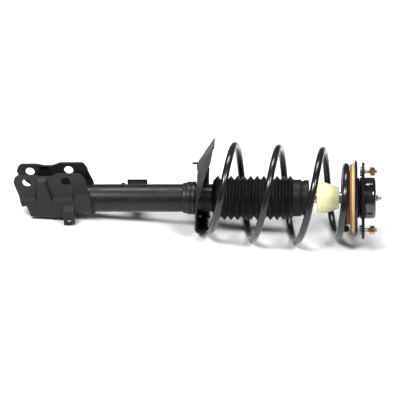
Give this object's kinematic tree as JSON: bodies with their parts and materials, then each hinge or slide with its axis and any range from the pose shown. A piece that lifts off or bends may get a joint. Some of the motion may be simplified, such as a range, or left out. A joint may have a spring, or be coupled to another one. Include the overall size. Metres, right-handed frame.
{
  "type": "suspension strut assembly",
  "caption": "Spring strut for a car's front wheel: damper tube with a clevis bracket for the knuckle, coil spring, dust boot, bump stop, bearing and studded top mount.",
  "frame": {"origin": "where the damper's axis meets the outer face of the top mount's plate, which bolts against the car's body", "axes": "+X along the damper from the knuckle clevis to the top mount, +Z towards the clevis ears, +Y towards the side with the wiring bracket"},
  "size_m": [0.6559, 0.1804, 0.1941],
  "materials": {
    "tube_paint": "satin",
    "bracket_coating": "satin",
    "spring_coating": "gloss",
    "seat_coating": "satin",
    "cup_paint": "gloss",
    "inner_steel": "brushed",
    "sintered_steel": "matte",
    "rod_chrome": "polished",
    "plain_zinc": "satin",
    "yellow_zinc": "satin",
    "seal_rubber": "matte",
    "pad_rubber": "matte",
    "boot_rubber": "matte",
    "mount_rubber": "matte",
    "isolator_rubber": "matte",
    "bump_foam": "matte",
    "clip_plastic": "matte",
    "band_plastic": "matte",
    "race_plastic": "matte"
  },
  "bodies": {
    "strut_body": {"strut_tube": "tube_paint", "tube_base_cap": "tube_paint", "pressure_tube": "inner_steel", "base_valve": "sintered_steel", "rod_guide": "sintered_steel", "oil_seal": "seal_rubber", "tube_cap": "tube_paint", "knuckle_bracket": "bracket_coating", "bracket_weld": "tube_paint", "hose_tab": "bracket_coating", "link_bracket": "tube_paint", "wire_nub": "tube_paint", "seat_collar": "tube_paint", "lower_spring_seat": "bracket_coating", "lower_spring_pad": "pad_rubber", "harness_clip": "clip_plastic", "coil_spring": "spring_coating", "dust_boot": "boot_rubber"},
    "upper_seat": {"upper_isolator": "isolator_rubber", "upper_spring_seat": "seat_coating", "bearing_lower_race": "race_plastic", "bearing_balls": "inner_steel", "bearing_seal": "seal_rubber"},
    "top_mount": {"piston_rod": "rod_chrome", "piston": "sintered_steel", "piston_band": "band_plastic", "piston_nut": "inner_steel", "rebound_stop": "seal_rubber", "bump_stop": "bump_foam", "bearing_upper_race": "race_plastic", "mount_lower_plate": "seat_coating", "mount_plate": "seat_coating", "mount_cup": "cup_paint", "mount_rubber": "mount_rubber", "mount_core": "inner_steel", "mount_studs": "plain_zinc", "stud_nuts": "yellow_zinc", "rod_washer": "plain_zinc", "rod_nut": "plain_zinc"}
  },
  "joints": [
    {"name": "strut_stroke", "type": "slide", "parent": "strut_body", "child": "upper_seat", "axis": [-1, 0, 0], "range_m": [0, 0.12], "stiffness_N_per_m": 13500, "springref_m": -0.075, "deforming": ["coil_spring", "dust_boot"]},
    {"name": "mount_bearing", "type": "hinge", "parent": "upper_seat", "child": "top_mount", "pos_m": [0, 0, 0], "axis": [1, 0, 0], "continuous": true}
  ]
}
